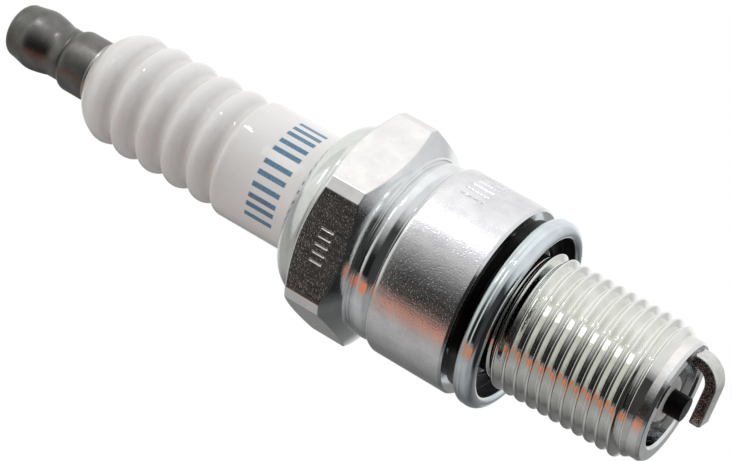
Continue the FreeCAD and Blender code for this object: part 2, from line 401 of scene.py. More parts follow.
def shell_below_thread():
    """From inside the collar's lip down the bore and round the firing end, up to the thread."""
    return rounded([
        (LIP_R, COLLAR_TOP - 0.25),
        (LIP_R, BORE_TOP),
        (BORE_R - 0.75, BORE_TOP),
        (BORE_R - 0.22, BORE_TOP - 0.22),
        (BORE_R, BORE_TOP - 0.75),
        (BORE_R, BORE_FLOOR),
        (THROAT_R, THROAT_TOP),
        (THROAT_R, LEDGE_Z),
        (LEDGE_R, LEDGE_Z - THROAT_R + LEDGE_R),
        (LEDGE_R, MOUTH_TOP, 0.08),
        (MOUTH_R, MOUTH_TOP),
        (MOUTH_R, MOUTH_GROOVE_TOP, 0.05),
        (MOUTH_R + MOUTH_GROOVE_DEPTH, MOUTH_GROOVE_TOP - 0.1, 0.05),
        (MOUTH_R + MOUTH_GROOVE_DEPTH, MOUTH_GROOVE_END + 0.1, 0.05),
        (MOUTH_R, MOUTH_GROOVE_END, 0.05),
        (MOUTH_R, -REACH + 0.25, 0.08),
        (MOUTH_R + 0.25, -REACH, 0.08),
        (TIP_EDGE_R, -REACH, 0.12),
        (TIP_R, -REACH + 0.35, 0.12),
        (TIP_R, TIP_TOP - 0.05),
        (TIP_R, TIP_TOP),
    ])


def shell_above_thread(angle, hex_r):
    """From the thread up over the seat, barrel, neck, hexagon and collar, at one angle of the plan."""
    low_drop = HEX_CHAMFER_SLOPE * (HEX_CORNER_R - hex_r)
    ring_drop = HEX_CHAMFER_SLOPE * (HEX_CORNER_R - HEX_RING_R)
    cone_foot = HEX_LOW_CORNER - ring_drop
    crown = HEX_HIGH_CORNER + HEX_CHAMFER_SLOPE * (HEX_CORNER_R - COLLAR_R)
    neck_top = cone_foot - 0.2
    neck_middle = (BARREL_TOP + cone_foot) / 2
    bulge = bow((NECK_R, BARREL_TOP + 0.03), (NECK_BULGE_R, neck_middle), (NECK_R, neck_top), 10)
    shoulder_middle = (BARREL_R - 0.26, BARREL_TOP - 0.26)
    shoulder = bow((BARREL_R, BARREL_TOP - 0.88), shoulder_middle, (NECK_R, BARREL_TOP), 8)
    collar_edge = (7.75, 20.0)
    side = bow((COLLAR_R, crown + 0.15), (8.85, 18.9), collar_edge, 10)
    top = bow(collar_edge, (7.2, 20.28), (6.6, COLLAR_TOP), 6)
    return rounded([
        (RELIEF_R, RELIEF_FOOT),
        (RELIEF_R, 0, 0.2),
        (SEAT_R, 0, 0.08),
        (BARREL_R, 0.25, 0.1),
        *dashed_side(BARREL_R, BARREL_DASH_LOW, BARREL_DASH_HIGH, dash_depth(BARREL_DASHES, angle)),
        *shoulder[:-1],
        (NECK_R, BARREL_TOP, 0.04),
        *bulge,
        (HEX_RING_R - 0.12, neck_top + 0.02, 0.05),
        (HEX_RING_R, cone_foot, 0.05),
        (hex_r, HEX_LOW_CORNER - low_drop, 0.16),
        *dashed_side(hex_r, HEX_DASH_LOW, HEX_DASH_HIGH, dash_depth(HEX_DASHES, angle)),
        (hex_r, HEX_HIGH_CORNER + low_drop, 0.16),
        (HEX_RING_R, HEX_HIGH_CORNER + ring_drop, 0.04),
        (HEX_RING_R, crown, 0.04),
        *side,
        *top[1:],
        (LIP_R + 0.12, COLLAR_TOP - 0.03, 0.05),
        (LIP_R, COLLAR_TOP - 0.1),
    ])


def shell_thread(angle):
    """The shell's M14 thread at one angle."""
    return thread_column(
        angle, THREAD_R, LAST_CREST_Z, THREAD_PITCH, THREAD_DEPTH, TIP_TOP, RELIEF_FOOT, shell_envelope)


def make_shell():
    """The one-piece steel shell, with its bore, helical thread, stamped dashes and hexagon."""
    plan = hexagon_plan()
    angles = [angle for angle, hex_r in plan]
    below = shell_below_thread()
    screw = screw_rows(below, shell_thread(0))

    def column_at(k):
        angle, hex_r = plan[k]
        return below + shell_thread(angle) + shell_above_thread(angle, hex_r)

    zones = []
    sample = column_at(0)
    for j, (r, z) in enumerate(sample):
        next_r = sample[(j + 1) % len(sample)][0]
        if screw[0] <= j < screw[1]:
            zones.append(SLOT_THREAD)
        elif j > screw[1] and min(r, next_r) > BARREL_R - 0.02 and z < BARREL_TOP:
            zones.append(SLOT_BARREL)
        elif j > screw[1] and abs(r - next_r) < 0.001 and r > BARREL_R and z > HEX_LOW_CORNER - 1:
            zones.append(SLOT_HEXAGON)
        elif j < screw[0] and r > TIP_R - 0.02:
            # The plain pilot below the thread is finished like the hexagon
            zones.append(SLOT_HEXAGON)
        else:
            zones.append(SLOT_PLAIN)
    return swept_round("shell_body", angles, column_at, zones, screw)


# ---------------------------------------------------------------- insulator and conductors

def insulator_outline():
    """From the top of the bore over the ribs, the smooth part and the nose, and back up the bore."""
    outer = [(CONDUCTOR_R, INSULATOR_TOP, 0.1), (3.6, INSULATOR_TOP)]
    outer += bow(outer[-1], (5.08, 46.2), (FIRST_RIB_R - 0.1, FIRST_RIB_Z + 0.6), 12)[1:]
    z = FIRST_GROOVE
    outer += bow(outer[-1], (FIRST_RIB_R, FIRST_RIB_Z), (RIB_JOIN_R, z + GROOVE_HALF), 6)[1:]
    for k in range(RIB_COUNT + 1):
        last = k == RIB_COUNT
        low_r = INSULATOR_R - 0.25 if last else RIB_JOIN_R
        low_z = z - GROOVE_HALF
        outer += bow(outer[-1], (GROOVE_R, z), (low_r, low_z), 10)[1:]
        if not last:
            next_join = (RIB_JOIN_R, z - RIB_PITCH + GROOVE_HALF)
            outer += bow((low_r, low_z), (RIB_R, z - RIB_PITCH / 2), next_join, 10)[1:]
        z -= RIB_PITCH
    body_top = FIRST_GROOVE - RIB_COUNT * RIB_PITCH - GROOVE_HALF
    outer += bow(outer[-1], (INSULATOR_R - 0.06, body_top - 0.3), (INSULATOR_R, body_top - 0.75), 6)[1:]
    shoulder_z = LEDGE_Z + 0.25
    outer += [
        (INSULATOR_R, body_top - 0.9),
        (INSULATOR_R, FLANGE_TOP + 0.6),
        (FLANGE_R, FLANGE_TOP),
        (FLANGE_R, BORE_FLOOR + 0.6),
        (THROAT_R - 0.1, THROAT_TOP + 0.1),
        (THROAT_R - 0.1, shoulder_z),
        (THROAT_R - 1.05, shoulder_z - 0.95),
        (3.7, LEDGE_Z - 1.4, 0.3),
        (NOSE_R, NOSE_END + 0.3, 0.3),
        (NOSE_R - 0.3, NOSE_END, 0.15),
        (ELECTRODE_BORE_R, NOSE_END, 0.04),
        (ELECTRODE_BORE_R, HEAD_SEAT_Z),
        (CONDUCTOR_R, HEAD_SEAT_Z),
    ]
    return rounded(outer, closed=True)


def electrode_outline():
    """The headed pin, with a blind hole for the copper core."""
    return rounded([
        (0, ELECTRODE_END),
        (ELECTRODE_R, ELECTRODE_END, 0.07),
        (ELECTRODE_R, HEAD_SEAT_Z),
        (HEAD_R, HEAD_SEAT_Z),
        (HEAD_R, HEAD_TOP - 0.4),
        (HEAD_R - 0.4, HEAD_TOP),
        (CORE_R, HEAD_TOP),
        (CORE_R, CORE_END),
        (0, CORE_END),
    ])


def stud_envelope(z):
    """The largest radius of the stud's threaded end at a height."""
    run_out = STUD_R + STUD_THREAD_FOOT + 0.17 - z
    end_cone = STUD_R + STUD_TOP - 0.5 - z
    near_foot = z < STUD_THREAD_FOOT + 0.6
    root_r = STUD_R - STUD_THREAD_DEPTH - 0.03
    return max(root_r, min(STUD_R, run_out if near_foot else end_cone))


def stud_thread(angle):
    """The stud's M4 thread at one angle."""
    low = STUD_THREAD_FOOT
    return thread_column(
        angle, STUD_R, low, STUD_PITCH, STUD_THREAD_DEPTH, low, STUD_TOP - 0.02, stud_envelope)


def make_stud():
    """The stud, with its M4 thread under the terminal nut."""
    below = [
        (0, STUD_FOOT),
        (STUD_R - 0.35, STUD_FOOT),
        (STUD_R - 0.35, UPPER_GLASS_TOP + 1),
        (STUD_R, UPPER_GLASS_TOP + 1.4),
        (STUD_R, STUD_THREAD_FOOT - 0.01),
    ]
    above = [(STUD_R - 0.5, STUD_TOP), (0, STUD_TOP)]
    angles = even_angles(64)
    screw = screw_rows(below, stud_thread(0))

    def column_at(k):
        return below + stud_thread(angles[k]) + above

    return swept_round("terminal_stud_body", angles, column_at, None, screw)


def nut_outline():
    """From the axis down the blind bore, round the foot and up the outside to the axis again."""
    skirt_end = bow((NUT_R, 50.85), (NUT_R - 0.1, 51.2), (NUT_NECK_R + 0.04, 51.6), 8)
    waist = bow((NUT_NECK_R, 53.4), (3.04, 54.4), (NUT_BULB_R, 55.5), 8)
    dome = bow((2.88, 57.7), (2.68, 58.3), (2.15, NUT_END), 8)
    outside = rounded([
        (NUT_BORE_R, NUT_SEAT),
        (NUT_LIP_R, NUT_SEAT, 0.08),
        (NUT_LIP_R, NUT_LIP_TOP, 0.08),
        (NUT_R, NUT_LIP_TOP + 0.1, 0.05),
        *skirt_end,
        (NUT_NECK_R + NUT_RIDGE_OUT, NUT_RIDGE_LOW, 0.02),
        (NUT_NECK_R + NUT_RIDGE_OUT, NUT_RIDGE_HIGH, 0.02),
        (NUT_NECK_R, NUT_RIDGE_HIGH + 0.06),
        *waist,
        (NUT_BULB_R, 56.0, 2.0),
        *dome,
        (1.6, NUT_END, 0.1),
        (1.45, NUT_END - 0.05, 0.1),
        (0, NUT_END - 0.05),
    ])
    return [(0, NUT_BORE_END + 0.9), (NUT_BORE_R, NUT_BORE_END)] + outside


def gasket_outline():
    """A folded ring: its leaf, the back, the rounded outside with a seam, the front and the inner roll."""
    top = GASKET_TOP
    low = GASKET_TOP - GASKET_THICK
    back = bow((9.0, top), (9.56, top - 0.3), (GASKET_R, GASKET_SEAM_Z + 0.07), 10)
    front = bow((GASKET_R, GASKET_SEAM_Z - 0.07), (9.5, low + 0.3), (8.98, low), 10)
    inner_roll = bow((8.82, low), (8.45, low + 0.14), (GASKET_HOLE_R, low + 0.55), 8)
    return rounded([
        (GASKET_LEAF_R, top - GASKET_LEAF, 0.1),
        (GASKET_LEAF_R, top, 0.1),
        *back,
        (GASKET_R - 0.05, GASKET_SEAM_Z),
        *front,
        *inner_roll,
        (GASKET_HOLE_R, top - GASKET_LEAF, 0.1),
    ], closed=True)


# ---------------------------------------------------------------- ground electrode

def strap_path():
    """Middle line of the strap in the XZ plane, from inside the rim to the end of its arm."""
    x = GROUND_OUTER_R - GROUND_THICK / 2
    arm_z = ELECTRODE_END - SPARK_GAP - GROUND_THICK / 2
    bend = GROUND_BEND_R + GROUND_THICK / 2
    points = [Vector((x, -REACH)), Vector((x, -REACH - 0.2)), Vector((x, arm_z + bend))]
    for k in range(1, 13):
        angle = math.radians(90 * k / 12)
        points.append(Vector((x - bend + bend * math.cos(angle), arm_z + bend - bend * math.sin(angle))))
    for x_arm in (2.0, 1.0, GROUND_TIP + 0.08, GROUND_TIP):
        points.append(Vector((x_arm, arm_z)))
    return points


def make_strap():
    """A flat wire with rounded edges along the strap's path."""
    half_w = GROUND_WIDTH / 2
    half_t = GROUND_THICK / 2
    section = rounded([
        (-half_t, -half_w, 0.28), (half_t, -half_w, 0.28), (half_t, half_w, 0.28), (-half_t, half_w, 0.28),
    ], closed=True, steps=5)
    path = strap_path()
    vertices = []
    for i, spot in enumerate(path):
        ahead = path[min(i + 1, len(path) - 1)] - path[max(i - 1, 0)]
        outward = Vector((-ahead.y, ahead.x)).normalized()
        # The arm's end is a little smaller, which rounds its edges off
        shrink = 0.94 if i == len(path) - 1 else 1.0
        for across, along in section:
            place = spot + outward * across * shrink
            vertices.append((place.x, along * shrink, place.y))
    ring = len(section)
    faces = []
    for i in range(len(path) - 1):
        for j in range(ring):
            up = (j + 1) % ring
            faces.append((i * ring + j, i * ring + up, (i + 1) * ring + up, (i + 1) * ring + j))
    faces.append(tuple(range(ring)))
    faces.append(tuple((len(path) - 1) * ring + j for j in range(ring)))
    return new_piece("ground_strap", vertices, faces)


def make_weld():
    """The lumpy bead squeezed out where the strap is resistance-welded to the rim."""
    half_w = GROUND_WIDTH / 2
    x = GROUND_OUTER_R - GROUND_THICK / 2
    around = 40
    along = 9
    vertices = []
    for i in range(around):
        angle = 2 * math.pi * i / around
        corner = (abs(math.cos(angle)) ** 4 + abs(math.sin(angle)) ** 4) ** -0.25
        for j in range(along):
            lift = math.pi * j / (along - 1) - math.pi / 2
            lump = 1 + 0.6 * noise.noise(Vector((4 * math.cos(angle), 4 * math.sin(angle), j * 0.6)))
            bulge = 0.3 * math.cos(lift) * lump
            vertices.append((
                x + (GROUND_THICK / 2 - 0.1 + bulge) * corner * math.cos(angle),
                (half_w - 0.05 + bulge) * corner * math.sin(angle),
                -REACH - 0.02 + 0.3 * math.sin(lift) * lump,
            ))
    faces = []
    for i in range(around):
        for j in range(along - 1):
            k = (i + 1) % around
            faces.append((i * along + j, i * along + j + 1, k * along + j + 1, k * along + j))
    faces.append(tuple(i * along for i in range(around)))
    faces.append(tuple(i * along + along - 1 for i in range(around)))
    return new_piece("ground_weld", vertices, faces)


# ---------------------------------------------------------------- shader helpers

def add(tree, kind, inputs=None, **settings):
    """A new shader node. An input is a value or the socket that feeds it."""
    node = tree.nodes.new(kind)
    for key, value in settings.items():
        setattr(node, key, value)
    for key, value in (inputs or {}).items():
        if isinstance(value, bpy.types.NodeSocket):
            tree.links.new(value, node.inputs[key])
        else:
            node.inputs[key].default_value = value
    return node


def calc(tree, operation, a, b=0.0):
    """The result of a Math node."""
    return add(tree, "ShaderNodeMath", {0: a, 1: b}, operation=operation).outputs[0]


def times(tree, a, b):
    return calc(tree, "MULTIPLY", a, b)


def plus(tree, a, b):
    return calc(tree, "ADD", a, b)


def spread(tree, value, low, high, from_low=0.0, from_high=1.0):
    """value mapped from one range to another, held inside it."""
    node = add(tree, "ShaderNodeMapRange", {
        "Value": value, "From Min": from_low, "From Max": from_high, "To Min": low, "To Max": high,
    })
    return node.outputs["Result"]


def ramp(tree, value, stops):
    """The colour at a value from 0 to 1, between stops of (position, colour)."""
    node = add(tree, "ShaderNodeValToRGB", {"Fac": value})
    elements = node.color_ramp.elements
    while len(elements) > 1:
        elements.remove(elements[0])
    elements[0].position = stops[0][0]
    elements[0].color = (*stops[0][1], 1)
    for position, colour in stops[1:]:
        element = elements.new(position)
        element.color = (*colour, 1)
    return node.outputs["Color"]


def blended(tree, factor, a, b, mode="MIX"):
    """Colour a, turned into b by a factor from 0 to 1."""
    node = add(tree, "ShaderNodeMix", {"Factor": factor}, data_type="RGBA", blend_type=mode)
    for name, value in (("A", a), ("B", b)):
        socket = next(s for s in node.inputs if s.name == name and s.type == "RGBA")
        if isinstance(value, bpy.types.NodeSocket):
            tree.links.new(value, socket)
        else:
            socket.default_value = (*value, 1)
    return next(s for s in node.outputs if s.type == "RGBA")


def new_material(name, constants):
    """A material with constant values on its shader: (material, tree, shader, place in millimetres)."""
    material = bpy.data.materials.new(name)
    material.use_nodes = True
    tree = material.node_tree
    shader = tree.nodes["Principled BSDF"]
    for key, value in constants.items():
        shader.inputs[key].default_value = value
    in_metres = add(tree, "ShaderNodeTexCoord").outputs["Object"]
    place = add(tree, "ShaderNodeVectorMath", {0: in_metres, "Scale": 1 / MM}, operation="SCALE")
    return material, tree, shader, place.outputs["Vector"]


def grain(tree, place, scale, detail=4.0, rough=0.55):
    """Noise with features of about 1/scale millimetres."""
    node = add(tree, "ShaderNodeTexNoise", {
        "Vector": place, "Scale": scale, "Detail": detail, "Roughness": rough,
    })
    return node.outputs["Fac"]


def pits(tree, place, scale):
    """Distance to the nearest of a cloud of points, for granular metal."""
    return add(tree, "ShaderNodeTexVoronoi", {"Vector": place, "Scale": scale}).outputs["Distance"]


def stretched(tree, place, x, y, z):
    """The place scaled along each axis, so that noise read there is drawn out."""
    node = add(tree, "ShaderNodeVectorMath", {0: place, 1: (x, y, z)}, operation="MULTIPLY")
    return node.outputs["Vector"]


def around_axis(tree, place):
    """(angle round Z in degrees, distance from Z, height), with lengths in millimetres."""
    parts = add(tree, "ShaderNodeSeparateXYZ", {"Vector": place})
    x, y, z = parts.outputs[0], parts.outputs[1], parts.outputs[2]
    angle = times(tree, calc(tree, "ARCTAN2", y, x), 180 / math.pi)
    radius = calc(tree, "SQRT", plus(tree, times(tree, x, x), times(tree, y, y)))
    return angle, radius, z


def bump(tree, shader, height, distance, under=None):
    """Relief of a depth in millimetres, over another one if given. Returns its normal."""
    inputs = {"Height": height, "Distance": distance * MM, "Strength": 1.0}
    if under:
        inputs["Normal"] = under
    node = add(tree, "ShaderNodeBump", inputs)
    tree.links.new(node.outputs["Normal"], shader.inputs["Normal"])
    return node.outputs["Normal"]


def patch(tree, angle, height, middle, half_angle, low, high, edge=0.06):
    """1 inside a patch of the surface round the axis, 0 outside, with a soft edge."""
    off = calc(tree, "ABSOLUTE", calc(tree, "SUBTRACT", angle, middle))
    inside = spread(tree, off, 1, 0, half_angle - 6 * edge, half_angle + 6 * edge)
    above = spread(tree, height, 0, 1, low - edge, low + edge)
    below = spread(tree, height, 1, 0, high - edge, high + edge)
    return times(tree, inside, times(tree, above, below))


def together(tree, masks):
    """1 where any of the masks is 1."""
    total = masks[0]
    for mask in masks[1:]:
        total = calc(tree, "MAXIMUM", total, mask)
    return total


# ---------------------------------------------------------------- materials

def plate_material(name, tint, shade, rough, grain_scale, grain_depth, pit_depth, shaded_recess=None):
    """Bright zinc plate with fine grain, faint wiping marks and small pits.

    rough is (smoothest, roughest). The last argument, if given, is (largest radius, lowest height, highest
    height) of a hollow between parts, where painted shade makes the plate dark and rough.
    """
    material, tree, shader, place = new_material(name, {"Metallic": 1.0})
    cloud = grain(tree, place, 0.6, 5.0)
    fine = grain(tree, place, grain_scale, 3.0, 0.6)
    wipes = grain(tree, stretched(tree, place, 6.0, 6.0, 0.5), 1.0, 4.0)
    colour = ramp(tree, cloud, [(0.3, shade), (0.7, tint)])
    colour = blended(tree, spread(tree, fine, 0.0, 0.35, 0.45, 0.75), colour, shade)
    worn = plus(tree, times(tree, wipes, 0.5), times(tree, fine, 0.5))
    roughness = spread(tree, worn, *rough, 0.35, 0.65)
    # Painted shade: a hollow between parts gets a dark, rough colour where shade falls there
    if shaded_recess:
        reach, low, high = shaded_recess
        radius, height = around_axis(tree, place)[1:]
        inside = spread(tree, radius, 1, 0, reach - 0.04, reach + 0.04)
        above = spread(tree, height, 0, 1, low - 0.15, low + 0.15)
        below = spread(tree, height, 1, 0, high - 0.03, high + 0.03)
        painted_shade = times(tree, inside, times(tree, above, below))
        colour = blended(tree, painted_shade, colour, (0.07, 0.068, 0.066))
        roughness = calc(tree, "MAXIMUM", roughness, times(tree, painted_shade, 0.4))
    tree.links.new(colour, shader.inputs["Base Color"])
    tree.links.new(roughness, shader.inputs["Roughness"])
    first = bump(tree, shader, fine, grain_depth)
    pitted = spread(tree, pits(tree, place, grain_scale * 0.55), 0, 1, 0.0, 0.35)
    bump(tree, shader, pitted, pit_depth, first)
    return material


def glaze_material():
    """White glazed alumina with a printed row of plain bars, painted shade in the grooves between the ribs,
    and a bare nose.
    """
    material, tree, shader, place = new_material("insulator_glaze", {"IOR": 1.55, "Coat Weight": 0.3})
    angle, radius, height = around_axis(tree, place)
    cloud = grain(tree, place, 0.35, 4.0)
    speck = grain(tree, place, 9.0, 2.0)
    white = ramp(tree, cloud, [(0.3, (0.85, 0.835, 0.83)), (0.7, (0.91, 0.90, 0.90))])
    white = blended(tree, spread(tree, speck, 0.0, 0.35, 0.72, 0.8), white, (0.62, 0.58, 0.54))
    # Painted shade: the colour is greyer in the grooves between the ribs, where shade falls
    sunk = spread(tree, radius, 1, 0, GROOVE_R, GROOVE_R + 0.35)
    in_ribs = spread(tree, height, 0, 1, RIBS_LOW, RIBS_LOW + 0.5)
    painted_groove_shade = times(tree, times(tree, sunk, in_ribs), 0.5)
    white = blended(tree, painted_groove_shade, white, (0.66, 0.63, 0.61))
    bars = []
    for middle in PRINT_BARS:
        bars.append(patch(tree, angle, height, middle, PRINT_HALF, PRINT_LOW, PRINT_HIGH))
    ink = times(tree, together(tree, bars), spread(tree, speck, 0.8, 1.0, 0.3, 0.6))
    printed = blended(tree, ink, white, (0.035, 0.18, 0.33))
    bare = spread(tree, height, 1, 0, -1.0, 0.0)
    tree.links.new(blended(tree, bare, printed, (0.82, 0.81, 0.79)), shader.inputs["Base Color"])
    gloss = spread(tree, grain(tree, place, 2.5, 3.0), 0.03, 0.07, 0.3, 0.7)
    rough = calc(tree, "MAXIMUM", gloss, times(tree, bare, 0.6))
    tree.links.new(rough, shader.inputs["Roughness"])
    dimple = times(tree, grain(tree, place, 2.6, 2.0), 0.04)
    ripple = plus(tree, grain(tree, place, 0.8, 2.0), dimple)
    bump(tree, shader, ripple, 0.04)
    return material


def dark_steel_material():
    """Blackened nickel of the terminal nut, satin, with handling marks."""
    material, tree, shader, place = new_material("terminal_gunmetal", {"Metallic": 1.0})
    height = around_axis(tree, place)[2]
    cloud = grain(tree, place, 0.7, 5.0)
    turning = grain(tree, stretched(tree, place, 0.3, 0.3, 14.0), 1.0, 3.0)
    fine = grain(tree, place, 7.0, 3.0)
    colour = ramp(tree, cloud, [(0.3, (0.13, 0.128, 0.124)), (0.7, (0.19, 0.187, 0.182))])
    scuff = spread(tree, grain(tree, place, 1.6, 6.0, 0.7), 0.0, 0.6, 0.62, 0.75)
    colour = blended(tree, scuff, colour, (0.28, 0.275, 0.265))
    lip = spread(tree, height, 1.0, 0.0, NUT_LIP_TOP + 0.02, NUT_LIP_TOP + 0.1)
    colour = blended(tree, times(tree, lip, 0.7), colour, (0.5, 0.49, 0.47))
    tree.links.new(colour, shader.inputs["Base Color"])
    mixed = plus(tree, times(tree, turning, 0.5), times(tree, fine, 0.5))
    tree.links.new(spread(tree, mixed, 0.26, 0.42, 0.35, 0.65), shader.inputs["Roughness"])
    bump(tree, shader, mixed, 0.012)
    return material


def nickel_material(name, bright, dark, rough, depth, edges=False):
    """Sheared and heat-marked nickel of the electrodes. edges makes the strap's two sides near black with
    light specks.
    """
    material, tree, shader, place = new_material(name, {"Metallic": 0.9})
    cloud = grain(tree, place, 1.2, 5.0)
    fine = grain(tree, place, 8.0, 4.0, 0.65)
    colour = ramp(tree, cloud, [(0.3, dark), (0.7, bright)])
    if edges:
        # The strap's two sides are made near black, with light specks
        across = add(tree, "ShaderNodeSeparateXYZ", {"Vector": place}).outputs[1]
        half_w = GROUND_WIDTH / 2
        side = spread(tree, calc(tree, "ABSOLUTE", across), 0, 1, half_w - 0.09, half_w - 0.02)
        side_specks = grain(tree, place, 11.0, 3.0, 0.7)
        dark_sides = ramp(tree, side_specks, [(0.50, (0.035, 0.03, 0.032)), (0.60, (0.72, 0.70, 0.69))])
        colour = blended(tree, side, colour, dark_sides)
    tree.links.new(colour, shader.inputs["Base Color"])
    tree.links.new(spread(tree, fine, *rough, 0.3, 0.7), shader.inputs["Roughness"])
    bump(tree, shader, fine, depth)
    return material


def plain_material(name, bright, dark, metallic, rough, scale):
    """A quiet material for the sealed inner pieces."""
    material, tree, shader, place = new_material(name, {"Metallic": metallic})
    cloud = grain(tree, place, scale, 5.0)
    tree.links.new(ramp(tree, cloud, [(0.3, dark), (0.7, bright)]), shader.inputs["Base Color"])
    tree.links.new(spread(tree, cloud, rough - 0.08, rough + 0.08, 0.3, 0.7), shader.inputs["Roughness"])
    bump(tree, shader, grain(tree, place, scale * 4, 3.0), 0.02)
    return material


# ---------------------------------------------------------------- build

shell = make_shell()
insulator = turned("insulator_body", insulator_outline(), 160)
stud = make_stud()
nut = turned("terminal_nut_body", nut_outline(), 96)
electrode = turned("centre_electrode_pin", electrode_outline(), 64)
strap = make_strap()
weld = make_weld()
gasket = turned("gasket_ring", gasket_outline(), 192)

# Tints of the plating, each with the shade of its clouds and grain
BRIGHT = (0.84, 0.855, 0.86)
BRIGHT_SHADE = (0.74, 0.76, 0.77)
WARM = (0.86, 0.865, 0.84)
WARM_SHADE = (0.76, 0.77, 0.73)
SATIN = (0.84, 0.84, 0.85)
SATIN_SHADE = (0.69, 0.69, 0.71)
IVORY = (0.88, 0.87, 0.85)
IVORY_SHADE = (0.76, 0.75, 0.74)
BLUISH = (0.74, 0.80, 0.83)
BLUISH_SHADE = (0.63, 0.69, 0.73)

# Painted shade darkens the shell between the seat and the thread, behind the gasket
plate = plate_material(
    "shell_plate_smooth", BRIGHT, BRIGHT_SHADE, (0.06, 0.14), 6.0, 0.002, 0.003,
    shaded_recess=(8.7, RELIEF_FOOT, 0.04))
thread_plate = plate_material("shell_plate_thread", WARM, WARM_SHADE, (0.02, 0.07), 6.0, 0.002, 0.003)
barrel_plate = plate_material("shell_plate_barrel", SATIN, SATIN_SHADE, (0.18, 0.30), 7.0, 0.012, 0.012)
hex_plate = plate_material("shell_plate_hexagon", IVORY, IVORY_SHADE, (0.14, 0.26), 9.0, 0.006, 0.008)
# Painted shade darkens the gasket's inner edge
gasket_plate = plate_material(
    "gasket_plate", BLUISH, BLUISH_SHADE, (0.03, 0.09), 5.0, 0.002, 0.003,
    shaded_recess=(GASKET_HOLE_R + 0.03, -3.4, 0.0))
glaze = glaze_material()
gunmetal = dark_steel_material()
strap_nickel = nickel_material(
    "strap_nickel_grain", (0.78, 0.78, 0.76), (0.60, 0.60, 0.58), (0.20, 0.38), 0.012, edges=True)
pin_nickel = nickel_material(
    "pin_nickel_dark", (0.016, 0.014, 0.014), (0.006, 0.005, 0.005), (0.35, 0.55), 0.02)
weld_nickel = nickel_material(
    "weld_nickel_lumps", (0.62, 0.61, 0.60), (0.10, 0.095, 0.09), (0.12, 0.35), 0.12)
stud_steel = plate_material("stud_steel_bright", SATIN, SATIN_SHADE, (0.22, 0.38), 6.0, 0.004, 0.005)

# Piece, the body it rides, the CAD node it replaces, its slot and its materials
PIECES = (
    (shell, "plug", "shell", "shell_plate", (plate, thread_plate, barrel_plate, hex_plate)),
    (insulator, "plug", "insulator", "insulator_ceramic", (glaze,)),
    (stud, "plug", "terminal_stud", "stud_steel", (stud_steel,)),
    (electrode, "plug", "centre_electrode", "electrode_nickel", (pin_nickel,)),
    (strap, "plug", "ground_electrode", "strap_nickel", (strap_nickel,)),
    (weld, "plug", None, "strap_nickel", (weld_nickel,)),
    (nut, "terminal_nut", "terminal_nut", "terminal_steel", (gunmetal,)),
    (gasket, "gasket", "gasket", "gasket_zinc", (gasket_plate,)),
)
for piece, body, node, slot, materials in PIECES:
    for material in materials:
        piece.data.materials.append(material)
    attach(piece, body)
    if node:
        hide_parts(node)

# The sealed inner pieces keep their CAD meshes
glass = plain_material("inner_glass_seal", (0.24, 0.19, 0.15), (0.12, 0.10, 0.08), 0.3, 0.4, 2.0)
resistor = plain_material("inner_resistor", (0.16, 0.16, 0.16), (0.07, 0.07, 0.07), 0.0, 0.8, 5.0)
copper = plain_material("inner_copper", (0.85, 0.45, 0.30), (0.70, 0.33, 0.20), 1.0, 0.35, 3.0)
talc = plain_material("inner_talc", (0.88, 0.87, 0.83), (0.76, 0.74, 0.70), 0.0, 0.85, 4.0)
packing = plain_material("inner_packing", (0.58, 0.59, 0.61), (0.42, 0.43, 0.45), 1.0, 0.4, 3.0)

INNER = {
    "upper_glass_seal": glass,
    "lower_glass_seal": glass,
    "resistor": resistor,
    "copper_core": copper,
    "talc_packing": talc,
    "seat_packing": packing,
    "upper_packing_ring": packing,
    "lower_packing_ring": packing,
}
for node, material in INNER.items():
    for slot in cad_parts[node].material_slots:
        slot.material = material

# ---------------------------------------------------------------- floor

floor = new_piece("studio_floor", [
    (-FLOOR_HALF, -FLOOR_HALF, FLOOR_Z),
    (FLOOR_HALF, -FLOOR_HALF, FLOOR_Z),
    (FLOOR_HALF, FLOOR_HALF, FLOOR_Z),
    (-FLOOR_HALF, FLOOR_HALF, FLOOR_Z),
], [(0, 1, 2, 3)])
floor_material, floor_tree, floor_shader, floor_place = new_material("studio_floor_pale", {"Roughness": 0.8})
floor_cloud = grain(floor_tree, floor_place, 0.01, 3.0)
floor_colour = ramp(floor_tree, floor_cloud, [(0.3, (0.86, 0.86, 0.86)), (0.7, (0.89, 0.89, 0.89))])
floor_tree.links.new(floor_colour, floor_shader.inputs["Base Color"])
floor_tree.links.new(floor_colour, floor_shader.inputs["Emission Color"])
floor_shader.inputs["Emission Strength"].default_value = 0.32
floor.data.materials.append(floor_material)
# The plug reflects the studio below it, not the floor
floor.visible_glossy = False
floor.visible_diffuse = False

# ---------------------------------------------------------------- camera

# The plug's own axes as the camera sees them: level and steep are the two directions square to its length.
# Then the camera's axes in the plug's frame.
axis_z = Vector(AXIS_IN_VIEW).normalized()
level = Vector((0, 1, 0)).cross(axis_z).normalized()
steep = level.cross(axis_z)
axis_x = steep * math.cos(TURN_IN_VIEW) + level * math.sin(TURN_IN_VIEW)
axis_y = level * math.cos(TURN_IN_VIEW) - steep * math.sin(TURN_IN_VIEW)
view = Matrix((axis_x, axis_y, axis_z))
right = view @ Vector((1, 0, 0))
up = view @ Vector((0, -1, 0))
back = view @ Vector((0, 0, -1))

camera_data = bpy.data.cameras.new("camera")
camera_data.lens = LENS_MM
camera_data.sensor_width = SENSOR_MM
camera_data.clip_start = 0.01
camera_data.clip_end = 20.0
camera = bpy.data.objects.new("camera", camera_data)
bpy.context.scene.collection.objects.link(camera)
turn = Matrix((right, up, back)).transposed().to_4x4()
camera.matrix_world = Matrix.Translation(view @ -Vector(SEAT_IN_VIEW) * MM) @ turn
bpy.context.scene.camera = camera
bpy.context.scene.view_settings.view_transform = "Standard"

# ---------------------------------------------------------------- light

